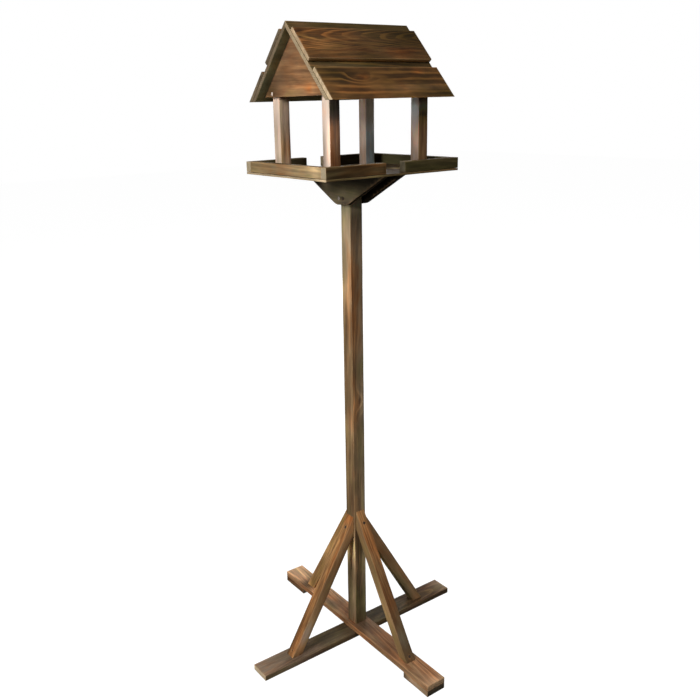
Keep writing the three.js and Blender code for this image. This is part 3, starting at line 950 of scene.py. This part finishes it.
# %% [markdown]
# The roof has two layers. The panels meet in a mitre at the ridge. Two boards lie on each panel, with a
# bare strip above them and a gap between them, and the panels and lower boards are cut level at the
# eave. All of them are blocks laid on the slope, and the frame says how far down it and how far out
# from it each one reaches. A block that is sawn at an end starts a little too long there.

# %% Roof
eave_low, _ = reach("roof_panel_front", Z)
allowance = 0.03
roof_courses = {"panel": [""], "board": ["_upper", "_lower"]}
for side, end in (("front", -1), ("back", 1)):
    down = Vector((0, end * math.cos(pitch), -math.sin(pitch)))
    out = slope_out(end)
    for part, courses in roof_courses.items():
        for course in courses:
            node = f"roof_{part}_{side}{course}"
            left, right = reach(node, X)
            top, bottom = reach(node, down)
            inside, outside = reach(node, out)
            if part == "panel":
                top -= allowance
            if course != "_upper":
                bottom += allowance
            size = (right - left, bottom - top, outside - inside)
            centre = X * (left + right) / 2 + down * (top + bottom) / 2 + out * (inside + outside) / 2
            axes = (X, down, X.cross(down))
            piece = block(node + "_timber", centre, size, axes)
            if part == "panel":
                saw(piece, Vector(), Vector((0, -end, 0)))
            if course != "_upper":
                saw(piece, Vector((0, 0, eave_low)), -Z)
            # Painted shade: every roof piece is darker on its underside.
            washes = roof_washes.get(node, []) + [(-out, (-0.5, -0.4, 0.2))]
            finish_timber(piece, centre, size, axes, "roof_timber",
                          washes=washes, **roof_grain.get(node, {}))

# %% [markdown]
# The screws are set last, each turned a little differently, because nobody lines up the slots. Most
# heads are painted the brown of the stain, which also stands for the shade in their holes, and two are
# painted pale and almost white, a painted glint. How bare and bright each one is goes into an
# attribute, so that one finish serves them all.

# %% Screws
screw_nodes = sorted(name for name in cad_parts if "screw" in name)
# These two heads are painted almost white, a painted glint; the dark heads also stand for shade.
bare_glinting_heads = {"gusset_left_screw_back": 1.0, "gable_left_screw_back": 1.0}
stained_and_shaded_share = 0.02
screw_pieces = []
for node in screw_nodes:
    screw = set_screw(screw_model, node + "_turned", node, turn=dice.uniform(0, math.pi / 2))
    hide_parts(node)
    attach(screw, "root")
    bare_and_glint = bare_glinting_heads.get(node, stained_and_shaded_share)
    store(screw, "bare_and_glint", "FLOAT", "POINT", [bare_and_glint] * len(screw.data.vertices))
    screw_pieces.append(screw)
bpy.data.objects.remove(screw_model)
bpy.data.objects.remove(bore_model)
print("screws set:", len(screw_pieces))

# %% [markdown]
# Materials are written as arithmetic. Blender's node editor is good for looking, but a formula is
# easier to read as a line of Python, so one small class wraps a socket. Adding or multiplying two
# wrapped sockets adds the Math node that does it, and one method adds any other node. A Mix node has
# sockets for numbers, vectors and colours side by side: its colours are sockets 6 and 7, and output 2.


# %% Shader arithmetic
class Wire:
    """One socket of a shader tree. Python's operators on it add Math nodes."""

    def __init__(self, tree, socket=None):
        self.tree = tree
        self.socket = socket

    def node(self, kind, settings, sockets, out=0):
        """Adds a node, applies its settings, fills its sockets and returns one of its outputs."""
        made = self.tree.nodes.new("ShaderNode" + kind)
        for key, value in settings.items():
            setattr(made, key, value)
        for key, value in sockets.items():
            if isinstance(value, Wire):
                self.tree.links.new(value.socket, made.inputs[key])
            else:
                made.inputs[key].default_value = value
        return Wire(self.tree, made.outputs[out])

    def math(self, operation, *values):
        """Adds a Math node."""
        return self.node("Math", {"operation": operation}, dict(enumerate(values)))

    def __add__(self, other):
        return self.math("ADD", self, other)

    __radd__ = __add__

    def __sub__(self, other):
        return self.math("SUBTRACT", self, other)

    def __rsub__(self, other):
        return self.math("SUBTRACT", other, self)

    def __mul__(self, other):
        return self.math("MULTIPLY", self, other)

    __rmul__ = __mul__

    def __truediv__(self, other):
        return self.math("DIVIDE", self, other)

    def __pow__(self, other):
        return self.math("POWER", self, other)

    def __rpow__(self, other):
        return self.math("POWER", other, self)

    def step(self, low, high):
        """0 below low, 1 above high, and a soft rise between them."""
        settings = {"interpolation_type": "SMOOTHSTEP"}
        return self.node("MapRange", settings, {"Value": self, "From Min": low, "From Max": high})

    def held(self):
        """This number kept between 0 and 1."""
        return self.node("Clamp", {}, {"Value": self})

    def parts(self):
        """The three parts of this vector."""
        return [self.node("SeparateXYZ", {}, {0: self}, out=i) for i in range(3)]

    def stretch(self, factors):
        """This vector with each part multiplied by its own factor."""
        return self.node("VectorMath", {"operation": "MULTIPLY"}, {0: self, 1: factors})

    def noise(self, factors, detail=2.0, roughness=0.5, distortion=0.0):
        """Noise on this vector, with so many waves in a metre along each of its parts."""
        sockets = {"Vector": self.stretch(factors), "Scale": 1.0, "Detail": detail,
                   "Roughness": roughness, "Distortion": distortion}
        return self.node("TexNoise", {}, sockets)

    def mix(self, first, second, blend="MIX"):
        """Two colours mixed, with this wire as the share of the second."""
        settings = {"data_type": "RGBA", "blend_type": blend}
        return self.node("Mix", settings, {0: self, 6: first, 7: second}, out=2)

    def plain(self, colour):
        """One colour as a wire, so that it can be tinted."""
        return self.node("Mix", {"data_type": "RGBA"}, {0: 0.0, 6: colour, 7: colour}, out=2)

    def tint(self, shade):
        """This colour made lighter or darker."""
        return self.node("VectorMath", {"operation": "SCALE"}, {0: self, "Scale": shade})

    def surface(self, kind="OutputMaterial"):
        """Sends this shader to the output."""
        output = self.tree.nodes.new("ShaderNode" + kind)
        self.tree.links.new(self.socket, output.inputs["Surface"])


def paint(code):
    """A colour from two hexadecimal digits a channel, made linear."""
    shares = [int(code[i : i + 2], 16) / 255 for i in (0, 2, 4)]
    linear = [s / 12.92 if s <= 0.04045 else ((s + 0.055) / 1.055) ** 2.4 for s in shares]
    return (*linear, 1.0)


def new_material(name):
    """An empty material, and a wire to start its tree from."""
    material = bpy.data.materials.new(name)
    material.use_nodes = True
    material.node_tree.nodes.clear()
    return material, Wire(material.node_tree)


def dress(piece, material):
    """Gives a piece its one material."""
    piece.data.materials.clear()
    piece.data.materials.append(material)


# %% [markdown]
# Stained softwood looks odd until you know why: the soft spring wood drinks the stain and goes dark,
# and the hard summer wood stays light and orange, so the rings are reversed. The finish follows the
# real order, and its first part is the figure. The rings run round the pith and are bent by noise and
# by knots. Every ring has a broad dark part and a narrow light one, which begins softly and ends
# sharply.

# %% Rings and knots
ring_spacing = 0.0042
ring_light_rise = (0.45, 0.86)
ring_light_fall = (0.9, 1.0)
drift_reach = 0.008
ripple_reach = 0.002
knot_reach = 0.006
knot_stretch = (45.0, 100.0, 0.0)
knot_core_rim = (0.25, 0.6)
knot_bend_rim = (0.2, 2.4)


def remembered(start, name, out=1):
    """One of a timber's attributes. Output 1 is a vector and output 2 a number."""
    return start.node("Attribute", {"attribute_name": name}, {}, out=out)


def knot_shares(start):
    """How far a point belongs to a knot's core, and how far a knot bends the rings there."""
    away = remembered(start, "knot").stretch(knot_stretch)
    distance = away.node("VectorMath", {"operation": "LENGTH"}, {0: away}, out=1)
    return 1 - distance.step(*knot_core_rim), 1 - distance.step(*knot_bend_rim)


def summer_wood(log, knot_pull):
    """The light part of each ring, as a share."""
    drift = log.noise((2.5, 14.0, 14.0)) - 0.5
    ripple = log.noise((14.0, 60.0, 60.0)) - 0.5
    _, across, up = log.parts()
    radius = (across * across + up * up) ** 0.5
    radius = radius + drift * drift_reach + ripple * ripple_reach + knot_pull * knot_reach
    turn = radius / ring_spacing
    ring = turn.math("FRACT", turn)
    return ring.step(*ring_light_rise) * (1 - ring.step(*ring_light_fall))


# %% [markdown]
# Wear comes next. Handling and rain take the stain off the edges first, so the finish has to know how
# near an edge is. The paler edges are also a painted highlight, for the light that the arrises catch.
# A point on a face has one depth of almost nothing, and the second smallest of its three depths is its
# distance from the nearest edge. Some noise keeps the worn line from being straight.

# %% Worn and highlit edges
worn_and_highlit_width = (0.0004, 0.0034)
worn_and_highlit_wander = 0.006


def worn_and_highlit_edge_share(margin, broad):
    """How worn a point is, and how much painted edge highlight it gets, from its depths between the
    three pairs of faces.
    """
    along, across, up = margin.parts()
    nearer = across.math("MINIMUM", across, up)
    further = across.math("MAXIMUM", across, up)
    edge = nearer.math("MAXIMUM", nearer, further.math("MINIMUM", further, along))
    return 1 - (edge + (broad - 0.5) * worn_and_highlit_wander).step(*worn_and_highlit_width)


# %% [markdown]
# The whole finish puts them in the order of the real thing. The rings are crisp only in places, with
# streaks and fibres over them. Then the wood fades towards pale and silver grey, which in places is a
# painted sheen and a painted tone of shade, the sawn ends and worn edges show bare, the edges also as a
# painted highlight, and the washes, stain and painted light together, turn the colour and make it
# lighter or darker by stops, as a photographer counts them: one stop doubles the light.

# %% Wood finish
# The worn colour is partly a painted highlight on the edges.
worn_and_highlit_wood = paint("b8946a")
knot_wood = paint("2a1a10")
end_grain = paint("b4a488")
# The silver grey is partly weathering and partly a painted sheen and a painted tone of shade.
silver_weather_and_sheen = paint("b8c2c4")
olive_glaze = (0.86, 1.02, 0.72, 1)
russet_glaze = (1.2, 0.82, 0.58, 1)
least_crisp = 0.25
crisp_rim = (0.36, 0.62)
summer_mean = 0.25
middle_shade = 0.45
fibre_contrast = 0.7
least_fading = 0.55
fading_reach = 0.9
end_shade = 0.72
end_ring_contrast = 0.3
end_pore_contrast = 0.5
least_uneven = 0.6
uneven_reach = 0.8
patch_redness = 2.6
less_on_ends = 2.0
broad_stops = 1.5
streak_stops = 0.9
pore_stops = 0.5
bare_end_share = 0.9
worn_and_highlit_share = 0.25
knot_wood_share = 0.45
ring_relief = 0.00016
fibre_relief = 0.0003
pore_relief = 0.00012
knot_relief = 0.0004
relief_strength = 0.8
fibre_roughness = 0.3
worn_polish = 0.08
wood_shine = 0.1


def wood_finish(name, dark, light, faded_and_sheen, rings, streaks, rough):
    """A stained wood, from the colours of its soft and hard parts and of its fade, partly a painted
    sheen, and how they show.
    """
    material, start = new_material(name)
    log = remembered(start, "log")
    sawn = remembered(start, "sawn", out=2)
    stops, redness, fading = remembered(start, "stain").parts()
    knot_core, knot_pull = knot_shares(start)
    summer = summer_wood(log, knot_pull)

    fibre = log.noise((7.0, 520.0, 520.0), roughness=0.6)
    pores = log.noise((30.0, 1900.0, 1900.0), detail=1.0)
    streak = log.noise((9.0, 110.0, 110.0), detail=3.0, roughness=0.6)
    broad = log.noise((6.0, 24.0, 24.0), detail=3.0, roughness=0.6)
    patch = log.noise((10.0, 38.0, 38.0), detail=3.0, roughness=0.65, distortion=0.4)
    crisp = least_crisp + log.noise((9.0, 34.0, 34.0)).step(*crisp_rim)

    grain = (summer - summer_mean) * crisp * rings + (streak - 0.5) * streaks
    grain = grain + (fibre - 0.5) * fibre_contrast + middle_shade
    colour = grain.step(0.0, 1.0).mix(paint(dark), paint(light))
    fading = fading * (least_fading + broad * fading_reach)
    colour = fading.held().mix(colour, paint(faded_and_sheen))
    colour = (fading - 1).held().mix(colour, silver_weather_and_sheen)
    end_tone = end_shade + summer * end_ring_contrast + (pores - 0.5) * end_pore_contrast
    ends = start.plain(end_grain).tint(end_tone)
    colour = (sawn * bare_end_share).mix(colour, ends)

    worn_and_highlit_edge = worn_and_highlit_edge_share(remembered(start, "margin"), broad)
    colour = (worn_and_highlit_edge * worn_and_highlit_share).mix(colour, worn_and_highlit_wood)

    uneven = least_uneven + patch * uneven_reach
    redness = redness * uneven + (patch - 0.5) * (patch_redness - sawn * less_on_ends)
    colour = redness.held().mix(colour, russet_glaze, "MULTIPLY")
    colour = (redness * -1).held().mix(colour, olive_glaze, "MULTIPLY")
    stops = stops * uneven + (broad - 0.5) * broad_stops
    stops = stops + (streak - 0.5) * streak_stops + (pores - 0.5) * pore_stops
    colour = colour.tint(2.0 ** stops)
    colour = (knot_core * knot_wood_share).mix(colour, knot_wood)

    height = summer * ring_relief + fibre * fibre_relief + pores * pore_relief
    height = height - knot_core * knot_relief
    bump = {"Strength": relief_strength, "Distance": 1.0, "Height": height}
    normal = height.node("Bump", {}, bump)
    roughness = rough + (fibre - 0.5) * fibre_roughness - worn_and_highlit_edge * worn_polish
    shader = colour.node("BsdfPrincipled", {}, {
        "Base Color": colour, "Roughness": roughness, "Normal": normal,
        "Specular IOR Level": wood_shine,
    })
    shader.surface()
    return material


# The faded colour of each stain is partly a painted sheen, most of all on the pale posts of the house.
stains = {
    "base": dict(dark="78593f", light="b0865e", faded_and_sheen="b8a894", rings=0.5, streaks=1.5, rough=0.7),
    "post": dict(dark="7a6045", light="b8946a", faded_and_sheen="d6c0a0", rings=0.4, streaks=1.5, rough=0.68),
    "brace": dict(dark="835c3a", light="c8945e", faded_and_sheen="e0b482", rings=0.4, streaks=1.5, rough=0.66),
    "tray": dict(dark="52432b", light="86704a", faded_and_sheen="b8a284", rings=0.35, streaks=1.0, rough=0.7),
    "house": dict(dark="8a6244", light="cc9c6e", faded_and_sheen="e2cebe", rings=0.2, streaks=1.1, rough=0.66),
    "gable": dict(dark="6e4e36", light="b08256", faded_and_sheen="c8a07a", rings=0.25, streaks=1.5, rough=0.66),
    "roof": dict(dark="3c2916", light="7a542c", faded_and_sheen="a08a6c", rings=0.7, streaks=1.3, rough=0.62),
}
finishes = {f"{part}_timber": wood_finish(f"{part}_stain", **look) for part, look in stains.items()}
for piece, slot in timbers:
    dress(piece, finishes[slot])
print("timbers finished:", len(timbers))

# %% [markdown]
# The screws are steel with a thin coat of zinc, which goes dull and slightly yellow outdoors. A bare
# head is painted pale, almost white, as a painted glint, and is a little metallic and rather smooth.
# The others keep the brown of the stain, which also stands for shade, and their finish is the same
# shader with the bare share turned down.

# %% Zinc finish
bare_zinc_and_glint = (paint("dccfc2"), paint("fff2e6"))
stained_and_shaded_head = paint("4a3826")
zinc_speckle = (900.0, 900.0, 900.0)
speckle_rim = (0.35, 0.7)
zinc_metal = 0.2
stained_roughness = 0.65
zinc_polish = 0.3
speckle_roughness = 0.3


def zinc_finish():
    """Pale zinc with a painted glint on the rubbed heads, and the brown of the stained finish, partly
    painted shade, on the rest.
    """
    material, start = new_material("zinc_and_painted_glint")
    place = start.node("TexCoord", {}, {}, out=3)
    bare_and_glint = remembered(start, "bare_and_glint", out=2)
    dull = place.noise(zinc_speckle, detail=3.0)
    colour = dull.step(*speckle_rim).mix(*bare_zinc_and_glint)
    colour = bare_and_glint.mix(stained_and_shaded_head, colour)
    roughness = stained_roughness - bare_and_glint * zinc_polish + dull * speckle_roughness
    shader = colour.node("BsdfPrincipled", {}, {
        "Base Color": colour, "Metallic": bare_and_glint * zinc_metal, "Roughness": roughness,
    })
    shader.surface()
    return material


zinc = zinc_finish()
for screw in screw_pieces:
    dress(screw, zinc)
print("screws finished:", len(screw_pieces))

# %% [markdown]
# The stage is as plain as a product page: a white floor that runs into a white world. Only the camera
# sees all of that white, and mirrored rays see a tenth of it. The floor gives back little light to the
# wood above it, and it keeps a faint shadow.

# %% Floor
floor_size = 30
floor_drop = 0.0008
white = (1, 1, 1, 1)
shadow_grey = (0.2, 0.2, 0.2, 1)
unseen_grey = (0.06, 0.058, 0.055, 1)
floor_glow = 0.985

bpy.ops.object.select_all(action="DESELECT")
bpy.ops.mesh.primitive_plane_add(size=floor_size, location=(0, 0, -floor_drop))
floor = bpy.context.active_object
floor.name = "floor"
floor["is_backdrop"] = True

floor_paint, start = new_material("floor_paint")
seen = start.node("LightPath", {}, {}, out=0)
kept_shadow = start.node("BsdfDiffuse", {}, {"Color": shadow_grey})
glow = start.node("Emission", {}, {"Color": white, "Strength": floor_glow})
bright = start.node("AddShader", {}, {0: kept_shadow, 1: glow})
dim = start.node("BsdfDiffuse", {}, {"Color": unseen_grey})
surface = seen.node("MixShader", {}, {0: seen, 1: dim, 2: bright})
surface.surface()
dress(floor, floor_paint)
print("floor lies below zero by:", floor_drop)

# %% World
ambient = 0.02
mirror_share = 0.1

world = bpy.data.worlds.new("studio")
bpy.context.scene.world = world
world.use_nodes = True
world.node_tree.nodes.clear()
sky = Wire(world.node_tree)
seen, mirrored = [sky.node("LightPath", {}, {}, out=i) for i in (0, 3)]
strength = seen.math("MAXIMUM", seen, mirrored * mirror_share)
strength = strength.math("MAXIMUM", strength, ambient)
back = sky.node("Background", {}, {"Color": white, "Strength": strength})
back.surface("OutputWorld")
print("light that the world gives the object:", ambient)

# %% [markdown]
# The key lamp stands at the left and about half a metre above the ridge, so the left faces are the
# brightest, and a weak lamp below it fills the shade on that side. The front lamp hangs high, so that
# the eaves and the tray shade what is under them. A wide one lights the roof from above. The last one
# serves the sides that the main view doesn't show. It stands low, because a higher one glares on the
# tray's floor.


# %% Lamps
def lamp(name, place, target, width, power):
    """A round soft lamp, so many metres wide and watts strong, that faces a target."""
    bpy.ops.object.light_add(type="AREA", location=place)
    light = bpy.context.active_object
    light.name = name
    light.data.shape = "DISK"
    light.data.size = width
    light.data.energy = power
    light.rotation_euler = (Vector(target) - Vector(place)).to_track_quat("-Z", "Y").to_euler()
    print(name, "watts:", power)


aim = (0, 0, 0.95)
low_aim = (0, 0, 0.6)
lamp("key_lamp", (-1.9, -0.35, 2.05), aim, width=0.8, power=36)
lamp("left_lamp", (-2.3, 0.35, 0.75), low_aim, width=0.9, power=10)
lamp("front_lamp", (0.3, -3.2, 4.2), aim, width=1.6, power=60)
lamp("top_lamp", (0.2, 0.2, 7.0), aim, width=2.5, power=70)
lamp("back_lamp", (3.0, 3.3, 1.3), aim, width=1.8, power=75)

# %% [markdown]
# The camera stands where the photographer stood: level with the roof, about 35 degrees round to the
# left of the table's front and looking slightly down, with a small roll. These values were found by
# laying the frame's edges over the photograph until they agreed. The lens and its shift are worked out
# from lengths in the picture, in pixels.

# %% Camera
picture = 700
focal = 794.67
sensor = 36.0
eye = Vector((-1.08118, -1.42265, 1.32454))
yaw = math.radians(34.72)
dip = math.radians(17.28)
roll = math.radians(-1.57)
centre_u = 320.22
centre_v = 351.02

forward = Vector((math.sin(yaw) * math.cos(dip), math.cos(yaw) * math.cos(dip), -math.sin(dip)))
level = Vector((math.cos(yaw), -math.sin(yaw), 0))
rise = level.cross(forward)
right = math.cos(roll) * level + math.sin(roll) * rise
up = -math.sin(roll) * level + math.cos(roll) * rise
camera = bpy.data.objects.new("camera", bpy.data.cameras.new("camera"))
bpy.context.scene.collection.objects.link(camera)
camera.matrix_world = Matrix.Translation(eye) @ Matrix((right, up, -forward)).transposed().to_4x4()
camera.data.sensor_width = sensor
camera.data.lens = focal / picture * sensor
camera.data.shift_x = (picture / 2 - centre_u) / picture
camera.data.shift_y = (centre_v - picture / 2) / picture
bpy.context.scene.camera = camera
print("lens in millimetres:", round(camera.data.lens, 2))

view = bpy.context.scene.view_settings
view.view_transform = "Standard"

# %% [markdown]
# The last step measures the dressed table and prints its box.

# %% Measure the dressed table
low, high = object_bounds()
print("visual box:", [round(c, 4) for c in low], [round(c, 4) for c in high])
